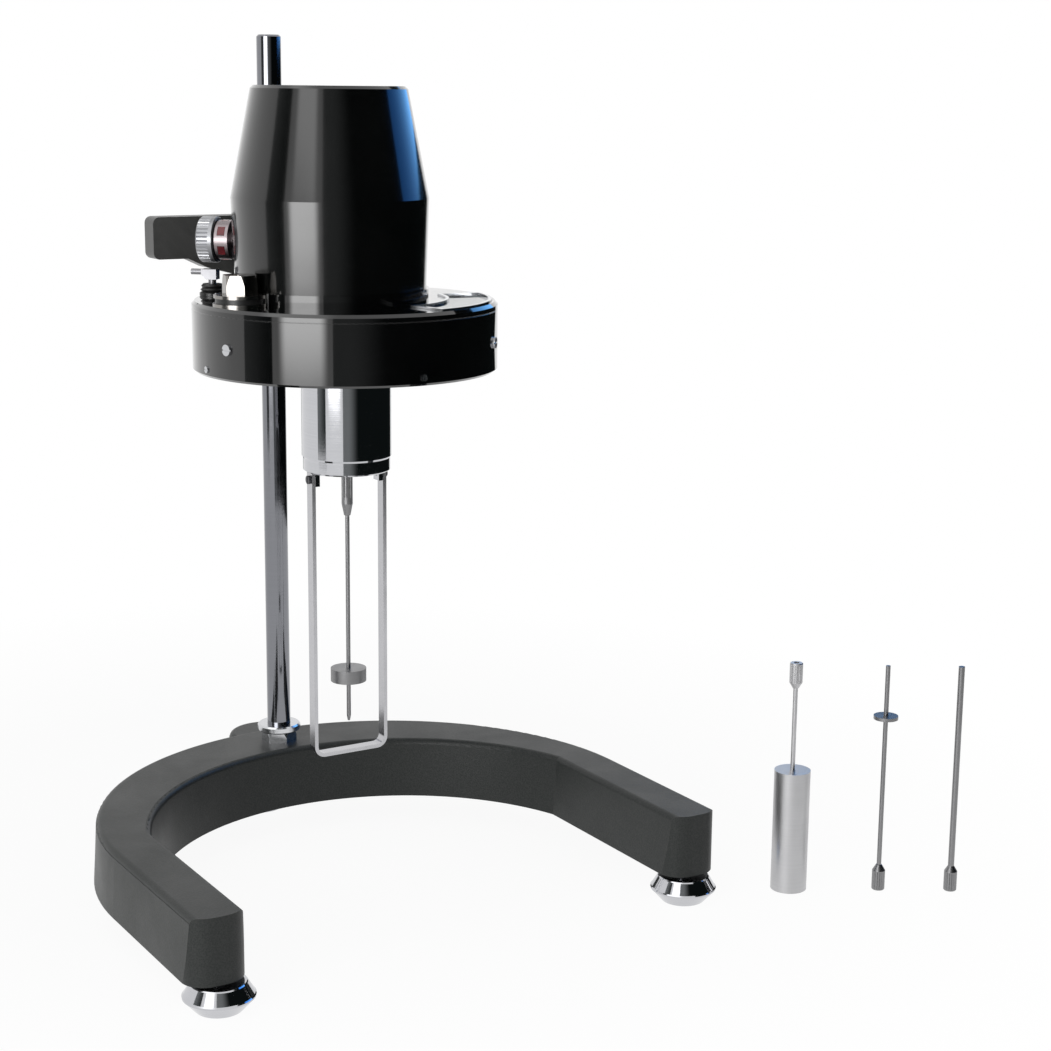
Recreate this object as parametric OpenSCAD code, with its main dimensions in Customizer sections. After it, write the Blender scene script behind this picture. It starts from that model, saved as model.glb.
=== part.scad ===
// Dial-reading rotational viscometer on a horseshoe stand, with its set of measuring spindles.
// Millimetres, +Z up. The origin is the centre of the rear levelling foot's sole.
// The stand opens towards -Y. The measuring head is drawn facing -Y and then turned on the stand.

/* [Stand] */
// Half of the outer width of the horseshoe, and the radius of its rear arc
base_half_width = 147; // [134:1:164]
// Width of each leg of the horseshoe
leg_width = 30; // [26:1:36]
// Width of the horseshoe where the column stands
base_back_width = 45; // [40:1:50]
// From the rear foot to the front end of the legs
base_depth = 247; // [225:1:270]
// Height of the casting's underside above the table
base_underside = 15; // [11:1:22]
// Height of the casting
base_height = 33; // [26:1:42]
// Wall thickness of the hollow underside
base_wall = 6; // [4:0.5:8]
// Roof thickness above the hollow underside
base_roof = 9; // [6:1:14]
// Radius of the rounded top edges
base_edge_r = 3; // [1:0.5:4]
// Lean of the casting's walls in degrees
draft_angle = 3.5; // [0:0.5:4.5]
// From the rear foot to the column
column_offset = 25; // [22:1:27]
// Column diameter
column_d = 13; // [11:0.5:16]
// Height of the column's top above the table
column_top = 438; // [420:1:480]

/* [Levelling feet] */
// Diameter of a foot's disc
foot_d = 34; // [26:1:38]
// Gap between a foot and the casting
foot_gap = 1.6; // [1:0.2:3]
// Diameter of a foot's screw
foot_screw_d = 8; // [6:0.5:10]
// From the front end of a leg to its foot
foot_inset = 9; // [9:1:24]

/* [Head position] */
// Gap between the column and the round housing
column_gap = 4; // [3.5:0.5:10]
// Height of the head housing's underside above the table
head_z = 271; // [262:1:300]
// Turn of the head's front towards +X, in degrees
head_turn = 48; // [40:1:52]

/* [Head housing] */
// Diameter of the round housing
pan_d = 155; // [140:1:170]
// Height of the round housing below its cover
pan_height = 31; // [28:1:38]
// Wall thickness of the housing
pan_wall = 2.5; // [2:0.5:3]
// Thickness of the top cover
cover_thick = 4; // [3:0.5:5]
// Width of the bevel round the top cover
cover_bevel = 1.6; // [0.5:0.1:2.5]
// Height of the raised seat that carries the motor cover
seat_height = 6; // [4:0.5:8]
// From the edge of the cover to the dial window
window_edge = 4; // [3.5:0.5:6]
// Length of the dial window along the pointer
window_length = 21.5; // [20:0.5:23]
// Angle that the dial window spans, in degrees
window_span = 70; // [40:1:76]

/* [Motor cover] */
// From the edge of the housing cover in to the motor cover's foot
cone_margin = 29.1; // [28.6:0.1:33]
// How far the motor cover widens up to its waist
cone_swell = 1.5; // [0.5:0.1:3]
// How far the motor cover is narrower at its top than at its foot
cone_taper = 9; // [5:0.5:14]
// Height of the waist above the foot
cone_waist_h = 45; // [42:1:60]
// Height of the motor cover
cone_height = 100; // [92:1:115]
// Wall thickness of the motor cover
cone_wall = 2; // [1.5:0.5:3]
// Shift of the motor cover to the head's rear
cone_shift = 7.5; // [6:0.5:8.5]

/* [Speed selector] */
// Diameter of the speed knob
knob_d = 23.4; // [18:0.2:26]
// Length of the speed knob
knob_length = 9; // [6:0.5:12]
// Diameter of the collar between the knob and the cover
collar_d = 20; // [15:0.5:22]
// Height of the speed knob's axis above the motor cover's foot
knob_rise = 22.5; // [20:0.5:30]

/* [Dial and movement] */
// Gap between the dial's edge and the housing wall
dial_gap = 3.5; // [2.5:0.5:8]
// Height of the dial above the housing's underside
dial_rise = 15; // [13:0.5:18]
// Diameter of the measuring shaft
shaft_d = 3; // [2.5:0.5:3.5]
// Module of the drive gears
gear_module = 0.8; // [0.8:0.1:1]
// Teeth of the gear on the dial's tube
drive_teeth = 38; // [34:2:44]
// Teeth of the motor pinion
pinion_teeth = 12; // [12:1:16]
// Width of the gear teeth
gear_width = 3; // [2:0.5:4]
// Diameter of the motor
motor_d = 40; // [34:1:46]
// Height of the motor
motor_h = 26; // [20:1:34]
// Diameter of the gearbox under the motor
gearbox_d = 34; // [28:1:38]
// Height of the gearbox
gearbox_h = 14; // [11:1:20]

/* [Shroud and guard] */
// Diameter of the chrome shroud under the housing
shroud_d = 46.2; // [42:0.2:54]
// Length of the shroud
shroud_length = 53; // [44:1:60]
// Length of the guard below the shroud
guard_length = 152; // [120:1:156]
// Width of the guard strip
guard_strip_w = 6; // [4:0.5:8]
// Thickness of the guard strip
guard_strip_t = 2; // [1.5:0.5:2.5]

/* [Spindles] */
// Diameter of the spindle couplings
coupling_d = 5.8; // [5:0.2:7]
// Length of the coupling nut on the measuring shaft
coupling_length = 24; // [20:1:30]
// Diameter of the wide spindle shafts
rod_d = 3.2; // [2.6:0.1:3.6]
// Diameter of the first spindle's cylinder
cylinder_d = 18.84; // [17:0.02:20]
// Length of the first spindle's cylinder
cylinder_length = 65.1; // [50:0.1:70]
// Diameter of the mounted second spindle's disc
disc_d = 18.72; // [16:0.02:20]
// Thickness of the mounted second spindle's disc
disc_thick = 6.86; // [4:0.02:9]
// Diameter of the third spindle's disc
thin_disc_d = 12.7; // [11:0.1:15]
// Length of each spindle
spindle_length = 123; // [112:1:126]
// From the stand's side to the first loose spindle
loose_gap = 40; // [26:1:90]
// How far the first loose spindle stands in front of the legs
loose_front = 7; // [0:1:60]

/* [Running clearance] */
// Radial clearance between turning shafts and their bores
running_fit = 0.06; // [0.03:0.01:0.09]
// Air between neighbouring bodies
air = 0.4; // [0.3:0.1:0.6]

/* [Hidden] */
$fn = 64;

// Heights and centres that follow from the sizes above
base_top = base_underside + base_height;
column_y = -column_offset;
pan_r = pan_d / 2;
head_reach = pan_r + column_gap + column_d / 2;
spindle_y = column_y - head_reach;
leg_end_y = -base_depth;
front_foot_y = leg_end_y + foot_inset;
leg_middle_x = base_half_width - leg_width / 2;
foot_shift = 2;
front_foot_x = leg_middle_x - foot_shift;
foot_height = base_underside - foot_gap;
rear_arc_y = -base_half_width - 2;
back_inner_y = -2 - base_back_width;
inner_half_width = base_half_width - leg_width;
inner_arc_r = inner_half_width + 6;
inner_arc_y = back_inner_y - inner_arc_r;
inner_straight = 30;
boss_half_width = 22;
boss_back_y = 17;
leg_corner_r = 12;
// Joint line between two parts that are fastened together
fixed_fit = 0.02;
cover_z = head_z + pan_height;
cover_top = cover_z + cover_thick;
seat_top = cover_top + seat_height;
cone_top_z = seat_top + cone_height;
shroud_r = shroud_d / 2;
shroud_wall = 2;
shroud_bottom = head_z - shroud_length;
dial_z = head_z + dial_rise;
dial_r = pan_r - pan_wall - dial_gap;
window_r2 = pan_r - window_edge;
window_r1 = window_r2 - window_length;
cone_foot_r = pan_r - cone_margin;
cone_waist_r = cone_foot_r + cone_swell;
cone_top_r = cone_foot_r - cone_taper;
shaft_r = shaft_d / 2;
collar_height = 4;
spigot_r = column_d / 2 - 1.5;
nut_height = 6;
nut_flats = column_d + 4;
clamp_bottom = cover_top + 16;
clamp_height = 22;
clamp_r = 12.5;

// Frames ---------------------------------------------------------------------------------

// Puts children drawn about the spindle axis onto the stand, facing the stand's front
module on_spindle_axis() {
    translate([0, spindle_y, 0]) children();
}

// Puts children drawn in the head's own frame onto the stand
module in_head() {
    on_spindle_axis() rotate([0, 0, head_turn]) children();
}

// Turns children about the head's axis, measured from the head's front towards its left
module at_head_angle(angle, radius, height) {
    rotate([0, 0, -angle]) translate([0, -radius, height]) children();
}

// Shared shapes --------------------------------------------------------------------------

// Hexagonal prism across flats
module hex(flats, height) {
    intersection_for(turn = [0, 60, 120])
        rotate([0, 0, turn]) translate([-flats / 2, -flats, 0]) cube([flats, 2 * flats, height]);
}

// Hexagonal nut with its top corners turned off
module hex_nut(flats, height, bore_r) {
    difference() {
        intersection() {
            hex(flats, height);
            cylinder(h = height, r1 = flats * 0.62, r2 = flats * 0.53);
        }
        translate([0, 0, -1]) cylinder(h = height + 2, r = bore_r);
    }
}

// Flat ring
module washer(outer_r, bore_r, height) {
    difference() {
        cylinder(h = height, r = outer_r);
        translate([0, 0, -1]) cylinder(h = height + 2, r = bore_r);
    }
}

// Slotted cheese-head screw that points down from the origin
module screw(head_r, head_h, shank_r, shank_l) {
    difference() {
        cylinder(h = head_h, r = head_r);
        translate([-head_r - 1, -head_r / 8, head_h * 0.5]) cube([2 * head_r + 2, head_r / 4, head_h]);
    }
    translate([0, 0, -shank_l]) cylinder(h = shank_l + 0.01, r = shank_r);
}

// Sector of a ring, centred on the -Y direction
module ring_sector(r1, r2, span, height) {
    rotate([0, 0, -90 - span / 2]) rotate_extrude(angle = span, $fn = 128)
        translate([r1, 0]) square([r2 - r1, height]);
}

// Radial grooves cut round a knob whose axis is Z
module grooves(count, radius, depth, height) {
    for (i = [0 : count - 1])
        rotate([0, 0, i * 360 / count]) translate([radius, 0, -0.5]) rotate([0, 0, 45])
            translate([-depth / 2, -depth / 2, 0]) cube([depth, depth, height + 1]);
}

// Stand ----------------------------------------------------------------------------------

// Wall profile of a drafted body with a rounded top edge, from the axis out to radius r
module drafted_profile(r, height) {
    lean = height * tan(draft_angle);
    edge = base_edge_r;
    edge_z = height - edge;
    polygon([[0, 0], [r, 0], [r - lean * edge_z / height, edge_z], [r - lean - edge, edge_z],
             [r - lean - edge, height], [0, height]]);
    translate([r - lean - edge, edge_z]) intersection() {
        circle(r = edge);
        square(edge);
    }
}

// Wall profile of a cutter that leaves a drafted wall with a rounded top edge
module flared_profile(r, height) {
    lean = height * tan(draft_angle);
    edge = base_edge_r;
    difference() {
        polygon([[0, -1], [r, -1], [r, 0], [r + lean, height - edge], [r + lean + edge, height],
                 [r + lean + edge, height + 1], [0, height + 1]]);
        translate([r + lean + edge, height - edge]) circle(r = edge);
    }
}

// Straight body of a wall profile on both sides of the stand's centre line
module straight_run(length) {
    rotate([90, 0, 0]) linear_extrude(length) {
        children();
        mirror([1, 0]) children();
    }
}

// Outer form of the horseshoe
module base_outer() {
    intersection() {
        translate([0, rear_arc_y, 0]) {
            rotate_extrude($fn = 160) drafted_profile(base_half_width, base_height);
            straight_run(base_depth) drafted_profile(base_half_width, base_height);
        }
        translate([-base_half_width, leg_end_y, 0])
            cube([2 * base_half_width, base_depth, base_height]);
    }
    boss_height = base_height - 0.6;
    translate([0, boss_back_y - boss_half_width, 0]) {
        rotate_extrude() drafted_profile(boss_half_width, boss_height);
        straight_run(40) drafted_profile(boss_half_width, boss_height);
    }
}

// Open space between the legs
module base_inner() {
    intersection() {
        translate([0, inner_arc_y, 0]) rotate_extrude($fn = 160) flared_profile(inner_arc_r, base_height);
        straight_run(base_depth * 2) flared_profile(inner_half_width, base_height);
    }
    translate([0, inner_arc_y + inner_straight, 0]) straight_run(base_depth * 2)
        flared_profile(inner_half_width, base_height);
}

// Rounds the outer corners of a leg's front end
module leg_end_corners() {
    for (side = [-1, 1]) for (edge = [-1, 1])
        translate([side * leg_middle_x + edge * (leg_width / 2 - leg_corner_r), leg_end_y + leg_corner_r, -1])
            difference() {
                translate([edge > 0 ? 0 : -leg_corner_r - 3, -leg_corner_r - 1, 0])
                    cube([leg_corner_r + 3, leg_corner_r + 1, base_height + 2]);
                cylinder(h = base_height + 2, r = leg_corner_r);
            }
}

// Plan of the horseshoe's outer wall, moved inwards by a wall thickness
module outer_plan(wall) {
    r = base_half_width - wall;
    intersection() {
        union() {
            translate([0, rear_arc_y]) circle(r = r, $fn = 160);
            translate([-r, rear_arc_y - base_depth]) square([2 * r, base_depth]);
        }
        translate([-r, leg_end_y + wall]) square([2 * r, base_depth]);
    }
}

// Plan of the open space between the legs, widened by a wall thickness
module inner_plan(wall) {
    half = inner_half_width + wall;
    intersection() {
        translate([0, inner_arc_y]) circle(r = inner_arc_r + wall, $fn = 160);
        translate([-half, -2 * base_depth]) square([2 * half, 2 * base_depth]);
    }
    translate([-half, -2 * base_depth]) square([2 * half, 2 * base_depth + inner_arc_y + inner_straight]);
}

// Hollow channel under the casting, with bosses round the feet and the column
module base_channel() {
    translate([0, 0, -1]) linear_extrude(base_height - base_roof + 1) difference() {
        outer_plan(base_wall);
        inner_plan(base_wall);
        for (place = foot_places()) translate(place) circle(r = foot_screw_d / 2 + 4.5);
        translate([0, column_y]) circle(r = column_d / 2 + 9);
    }
}

// Where the three feet stand
function foot_places() = [[0, 0], [-front_foot_x, front_foot_y], [front_foot_x, front_foot_y]];

module base_casting() {
    color([0.13, 0.15, 0.14])
    difference() {
        translate([0, 0, base_underside]) difference() {
            base_outer();
            base_inner();
            leg_end_corners();
            base_channel();
        }
        translate([0, column_y, 0]) cylinder(h = base_top + 1, r = spigot_r + fixed_fit);
        translate([0, column_y, base_underside - 1]) cylinder(h = 11, r = column_d / 2 + 6);
        for (place = foot_places())
            translate([place[0], place[1], base_underside - 1])
                cylinder(h = base_height - base_roof + 5, r = foot_screw_d / 2 + running_fit);
    }
}

// Levelling foot: a wheel with a double-bevelled rim, turned in one piece with its screw
module levelling_foot() {
    foot_r = foot_d / 2;
    sole_r = foot_r * 0.69;
    shoulder_r = foot_r * 0.78;
    rim_z = foot_height * 0.47;
    rim_land = 0.8;
    break_w = 0.5;
    rotate_extrude() polygon([[0, 0], [sole_r - break_w, 0], [sole_r, break_w],
        [foot_r - break_w, rim_z - break_w], [foot_r, rim_z], [foot_r, rim_z + rim_land],
        [foot_r - break_w, rim_z + rim_land + break_w], [shoulder_r, foot_height - break_w],
        [shoulder_r - break_w, foot_height], [0, foot_height]]);
    cylinder(h = base_top - base_roof + 2, r = foot_screw_d / 2);
}

module foot_rear() {
    color([0.85, 0.86, 0.88]) levelling_foot();
}

module foot_left() {
    color([0.85, 0.86, 0.88]) translate([-front_foot_x, front_foot_y, 0]) levelling_foot();
}

module foot_right() {
    color([0.85, 0.86, 0.88]) translate([front_foot_x, front_foot_y, 0]) levelling_foot();
}

// Polished column with a turned-down lower end that passes through the casting
module column() {
    color([0.85, 0.86, 0.88]) translate([0, column_y, 0]) {
        translate([0, 0, base_underside + 1.5])
            cylinder(h = base_height, r = spigot_r);
        translate([0, 0, base_top]) cylinder(h = column_top - base_top - 1, r = column_d / 2);
        translate([0, 0, column_top - 1]) cylinder(h = 1, r1 = column_d / 2, r2 = column_d / 2 - 1);
    }
}

// Hexagonal lock nut on the casting
module column_nut() {
    color([0.8, 0.81, 0.83]) translate([0, column_y, base_top])
        hex_nut(nut_flats, nut_height, column_d / 2 + fixed_fit);
}

// Turned collar on the lock nut
module column_collar() {
    bore_r = column_d / 2 + fixed_fit;
    rim_r = 12;
    bevel = 0.8;
    color([0.85, 0.86, 0.88]) translate([0, column_y, base_top + nut_height + fixed_fit])
        rotate_extrude() polygon([[bore_r, 0], [rim_r - bevel, 0], [rim_r, bevel],
            [rim_r, collar_height - bevel], [rim_r - bevel, collar_height], [bore_r, collar_height]]);
}

// Nut and washer under the casting
module column_under_nut() {
    color([0.7, 0.71, 0.73]) translate([0, column_y, base_underside + 2.4]) {
        hex_nut(nut_flats, nut_height, spigot_r + fixed_fit);
        translate([0, 0, nut_height]) washer(column_d / 2 + 5.5, spigot_r + fixed_fit, 1.58);
    }
}

// Carrier --------------------------------------------------------------------------------

// Sizes of the carrier that joins the head to the column
bar_end_x = -70;
bar_half = 6;
bar_corner_r = 3.5;
foot_plate_z = cover_top + fixed_fit;
foot_plate_t = 4;
foot_plate_half = 17;
foot_plate_front_y = -27.5;
carrier_screw_x = 10.5;
carrier_screw_y = foot_plate_front_y + 7;
slot_w = 2;
clamp_z = clamp_bottom + clamp_height / 2;

// Side outline of the carrier's arm, drawn in X and Z about the column
module arm_outline() {
    difference() {
        union() {
            translate([bar_end_x + bar_corner_r, clamp_bottom])
                square([-bar_end_x - bar_corner_r, clamp_height]);
            translate([bar_end_x, clamp_bottom + bar_corner_r])
                square([bar_corner_r + 1, clamp_height - 2 * bar_corner_r]);
            for (z = [bar_corner_r, clamp_height - bar_corner_r])
                translate([bar_end_x + bar_corner_r, clamp_bottom + z]) circle(r = bar_corner_r);
            polygon([[-53, clamp_bottom + 1], [-40, clamp_bottom - 5], [-foot_plate_half, clamp_bottom - 11],
                     [-foot_plate_half, foot_plate_z], [-2, foot_plate_z], [-2, clamp_bottom + 1]]);
        }
        translate([-1, foot_plate_z - 1]) square([10, 5]);
    }
}

// Casting that grips the column, reaches over the housing and carries the head
module carrier() {
    color([0.07, 0.07, 0.07]) translate([0, column_y, 0]) difference() {
        union() {
            translate([0, bar_half, 0]) rotate([90, 0, 0]) linear_extrude(2 * bar_half) arm_outline();
            translate([0, 0, clamp_bottom]) cylinder(h = clamp_height, r = clamp_r);
            translate([0, -clamp_r + 1.5, clamp_bottom]) cube([clamp_r + 9, 2 * clamp_r - 3, clamp_height]);
            translate([-foot_plate_half, foot_plate_front_y, foot_plate_z])
                cube([2 * foot_plate_half, -foot_plate_front_y + 2, foot_plate_t]);
            translate([-foot_plate_half, -7, foot_plate_z]) cube([2 * foot_plate_half, 6.5, 17]);
            for (side = [-1, 1]) translate([side * (foot_plate_half - 2) - 2, -20, foot_plate_z])
                rotate([90, 0, 90]) linear_extrude(4) polygon([[0, 0], [14, 0], [14, 17], [12, 17]]);
        }
        translate([0, 0, foot_plate_z - 1])
            cylinder(h = clamp_bottom + clamp_height - foot_plate_z + 2, r = column_d / 2 + running_fit);
        translate([0, -slot_w / 2, clamp_bottom - 1]) cube([40, slot_w, clamp_height + 2]);
        translate([0, 0, foot_plate_z - 1]) cylinder(h = 17, r = column_d / 2 + 1.5);
        translate([clamp_r + 2, 0, clamp_z]) rotate([90, 0, 0])
            cylinder(h = 4 * clamp_r, r = 3 + running_fit, center = true);
        for (side = [-1, 1]) translate([side * carrier_screw_x, carrier_screw_y, foot_plate_z - 1])
            cylinder(h = 9, r = 2.6);
    }
}

// Screws that hold the carrier's foot on the housing cover
module carrier_screws() {
    color([0.75, 0.76, 0.78]) for (side = [-1, 1])
        translate([side * carrier_screw_x, column_y + carrier_screw_y, foot_plate_z + foot_plate_t + fixed_fit])
            screw(4.2, 2.6, 2.4, foot_plate_t + cover_thick - 1);
}

// Clamp knob with the screw that closes the carrier on the column
module clamp_knob() {
    knob_r = 12;
    knob_h = 14;
    boss_r = 7;
    boss_h = 2;
    back_y = clamp_r - 1.5 + air;
    color([0.05, 0.05, 0.05]) translate([clamp_r + 2, column_y + back_y, clamp_z]) rotate([-90, 0, 0]) {
        difference() {
            rotate_extrude() polygon([[0, 0], [boss_r, 0], [boss_r, boss_h], [knob_r - 1, boss_h],
                [knob_r, boss_h + 1], [knob_r, knob_h - 1.5], [knob_r - 1.5, knob_h], [knob_r - 4, knob_h],
                [knob_r - 5, knob_h - 1], [0, knob_h - 1]]);
            translate([0, 0, boss_h]) grooves(16, knob_r + 0.4, 2.4, knob_h);
        }
        translate([0, 0, -2 * clamp_r + 1 - air]) cylinder(h = 2 * clamp_r + 1, r = 3);
    }
}

// Head housing ---------------------------------------------------------------------------

// Round pan of the housing, open at the top, with the hole for the shroud
module housing_pan() {
    lip = 1.2;
    color([0.03, 0.03, 0.035]) in_head() translate([0, 0, head_z]) difference() {
        rotate_extrude($fn = 128) difference() {
            polygon([[0, 0], [pan_r - lip, 0], [pan_r, lip], [pan_r, pan_height], [0, pan_height]]);
            translate([-1, 3]) square([pan_r - pan_wall + 1, pan_height]);
        }
        translate([0, 0, -1]) cylinder(h = 6, r = shroud_r - shroud_wall);
        for (angle = pan_screw_angles()) at_head_angle(angle, pan_r, pan_height / 2)
            rotate([-90, 0, 0]) cylinder(h = 14, r = 1.62, center = true, $fn = 32);
        for (angle = edge_screw_angles()) at_head_angle(angle, pan_r, 4)
            rotate([-90, 0, 0]) cylinder(h = 8, r = 1.02, center = true, $fn = 32);
    }
}

// Where screws hold the cover to the pan, from the head's front towards its left
function pan_screw_angles() = [2, 122, 242];

// Where small screws at the lower edge hold the pan's floor
function edge_screw_angles() = [46, 136, 226, 316];

// Screws in the side of the housing
module pan_screws() {
    color([0.8, 0.8, 0.82]) in_head() for (angle = pan_screw_angles())
        at_head_angle(angle, pan_r + fixed_fit, head_z + pan_height / 2)
            rotate([90, 0, 0]) screw(2.8, 1.2, 1.6, 6);
}

// Small screws near the lower edge of the housing
module edge_screws() {
    color([0.8, 0.8, 0.82]) in_head() for (angle = edge_screw_angles())
        at_head_angle(angle, pan_r + fixed_fit, head_z + 4) rotate([90, 0, 0]) screw(1.7, 0.7, 1, 3.5);
}

// Top cover with the raised seat, the window opening and the hole for the drive
module top_cover() {
    rim = 1.2;
    seat_ledge = 9;
    color([0.03, 0.03, 0.035]) in_head() difference() {
        union() {
            translate([0, 0, cover_z + fixed_fit]) rotate_extrude($fn = 128)
                polygon([[0, 0], [pan_r, 0], [pan_r, cover_thick - cover_bevel],
                         [pan_r - cover_bevel, cover_thick - fixed_fit], [0, cover_thick - fixed_fit]]);
            translate([0, cone_shift, cover_top - 0.5])
                cylinder(h = seat_height + 0.5, r = cone_foot_r + rim, $fn = 128);
        }
        translate([0, cone_shift, cover_z - 1])
            cylinder(h = cover_thick + seat_height + 2, r = cone_foot_r - seat_ledge);
        translate([0, 0, cover_z - 1]) ring_sector(window_r1, window_r2, window_span, 20);
        translate([0, 0, cover_top - 1.6]) ring_sector(window_r1 - 1.5, window_r2 + 1, window_span + 3, 20);
        at_head_angle(lock_angle, lock_r, cover_z - 1) cylinder(h = 20, r = 2 + running_fit);
        at_head_angle(stud_angle, stud_r, cover_z - 1) cylinder(h = 20, r = stud_thread_r + fixed_fit);
        at_head_angle(stud_angle, stud_r, cover_top) cylinder(h = 20, r = stud_washer_r + 0.6);
        turned_back() for (side = [-1, 1])
            translate([side * carrier_screw_x, head_reach + carrier_screw_y, cover_z - 1])
                cylinder(h = 20, r = 2.42);
    }
}

// Undoes the head's turn, for what lines up with the stand
module turned_back() {
    rotate([0, 0, -head_turn]) children();
}

// Window pane let into the cover
module window_pane() {
    color([0.7, 0.8, 0.85, 0.35]) in_head() translate([0, 0, cover_top - 1.58])
        ring_sector(window_r1 - 1.4, window_r2 + 0.9, window_span + 2.6, 1.4);
}

// Bright frame round the window
module window_bezel() {
    frame_w = 1.8;
    side_angle = frame_w / window_r1 * 57.3;
    color([0.8, 0.81, 0.83]) in_head() translate([0, 0, cover_top - 0.16]) difference() {
        ring_sector(window_r1 - 1.2, window_r2 + 0.8, window_span + 2, 1.2);
        translate([0, 0, -1])
            ring_sector(window_r1 - 1.2 + frame_w, window_r2 + 0.8 - frame_w,
                        window_span + 2 - 2 * side_angle, 4);
    }
}

// Motor cover ----------------------------------------------------------------------------

cone_profile_top = 1.5;
knob_z = seat_top + knob_rise;
collar_length = 8;

// Turned cover of the motor, closed at the top
module motor_cover() {
    color([0.05, 0.05, 0.05]) in_head() translate([0, cone_shift, seat_top + fixed_fit]) difference() {
        rotate_extrude($fn = 128) polygon([[0, 0], [cone_foot_r, 0], [cone_waist_r, cone_waist_h],
            [cone_top_r, cone_height - cone_profile_top], [cone_top_r - cone_profile_top, cone_height],
            [0, cone_height]]);
        translate([0, 0, -0.1]) rotate_extrude() polygon([[0, 0], [cone_foot_r - cone_wall, 0],
            [cone_waist_r - cone_wall, cone_waist_h], [cone_top_r - cone_wall - 0.5, cone_height - 3],
            [0, cone_height - 3]]);
        translate([0, 0, knob_rise]) rotate([-90, 0, 0]) cylinder(h = 60, r = 4.1);
        at_head_angle(switch_angle, 30, switch_rise) rotate([90, 0, 0]) cylinder(h = 30, r = 3.1);
        at_head_angle(inlet_angle, 30, inlet_rise) rotate([90, 0, 0]) cylinder(h = 30, r = 5.1);
    }
}

// Bush that the speed knob's spindle turns in
module speed_collar() {
    start = cone_foot_r - 1.5;
    color([0.75, 0.72, 0.72]) in_head() translate([0, cone_shift + start, knob_z]) rotate([-90, 0, 0])
        difference() {
            union() {
                translate([0, 0, 4.6]) cylinder(h = collar_length - 1, r = collar_d / 2);
                translate([0, 0, -2]) cylinder(h = 8, r = 4);
            }
            translate([0, 0, -3]) cylinder(h = 20, r = 2 + running_fit);
            intersection() {
                translate([0, 0, -5]) cylinder(h = 30, r = 20);
                translate([0, -knob_rise, -start]) rotate([90, 0, 0])
                    translate([0, 0, -cone_waist_h])
                        cylinder(h = cone_height, r = cone_waist_r + fixed_fit, $fn = 128);
                difference() {
                    cylinder(h = 30, r = 20);
                    translate([0, 0, -5]) cylinder(h = 60, r = 4);
                }
            }
            for (turn = [30 : 60 : 330]) rotate([0, 0, turn])
                translate([collar_d / 2, 0, 3.6 + collar_length / 2 + 0.5])
                    cube([1.2, 5, collar_length - 4], center = true);
        }
}

// Knurled speed knob on its spindle
module speed_knob() {
    start = cone_foot_r - 1.5 + 3.6 + collar_length + air;
    color([0.82, 0.83, 0.85]) in_head() translate([0, cone_shift + start, knob_z]) rotate([-90, 0, 0]) {
        difference() {
            rotate_extrude() polygon([[0, 0], [knob_d / 2 - 0.6, 0], [knob_d / 2, 0.6],
                [knob_d / 2, knob_length - 0.8], [knob_d / 2 - 0.8, knob_length],
                [knob_d / 2 - 3, knob_length], [knob_d / 2 - 4, knob_length - 0.8], [0, knob_length - 0.8]]);
            translate([0, 0, 3]) grooves(36, knob_d / 2 + 0.35, 1.2, knob_length);
        }
        translate([0, 0, -18]) cylinder(h = 18.5, r = 2);
        translate([0, 0, -18]) cylinder(h = 3, r = 6);
    }
}

// Fittings on the housing ----------------------------------------------------------------

stud_angle = 129.5;
stud_r = pan_r - 14.7;
stud_washer_r = 13.3;
stud_thread_r = 3;
stud_washer_t = 1.6;
stud_plate_t = 2.6;
lock_angle = 180;
lock_r = pan_r - 7;
boot_h = 6;
switch_angle = -95;
switch_rise = 24;
inlet_angle = -132;
toggle_tilt = 12;
inlet_rise = 26;

// Stud with its nut and washers on the housing cover
module stud_set() {
    color([0.85, 0.86, 0.87]) in_head() at_head_angle(stud_angle, stud_r, cover_top) {
        bore_r = stud_thread_r + fixed_fit;
        plate_top = stud_washer_t + stud_plate_t;
        translate([0, 0, fixed_fit]) washer(stud_washer_r, bore_r, stud_washer_t);
        translate([0, 0, plate_top + 3 * fixed_fit]) washer(stud_washer_r - 0.4, bore_r, stud_washer_t);
        translate([0, 0, plate_top + stud_washer_t + 4 * fixed_fit]) rotate([0, 0, 12])
            hex_nut(15.5, 9.5, bore_r);
        translate([0, 0, -cover_thick - 3]) cylinder(h = 22.5, r = stud_thread_r);
    }
}

// Dark plate between the two washers
module stud_plate() {
    color([0.04, 0.04, 0.04]) in_head() at_head_angle(stud_angle, stud_r, cover_top + 0.04 + stud_washer_t)
        washer(stud_washer_r - 1.2, stud_thread_r + fixed_fit, stud_plate_t);
}

// Rubber boot of the pointer lock
module lock_boot() {
    color([0.03, 0.03, 0.03]) in_head() at_head_angle(lock_angle, lock_r, cover_top + fixed_fit) rotate_extrude()
        difference() {
            polygon([[0, 0], [6.6, 0], [6.6, 1.4], [5.4, 2.1], [6.2, 3], [5.2, 4], [5.8, 4.9], [4.8, boot_h],
                     [0, boot_h]]);
            translate([-1, -1]) square([3 + running_fit, 20]);
        }
}

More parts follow.
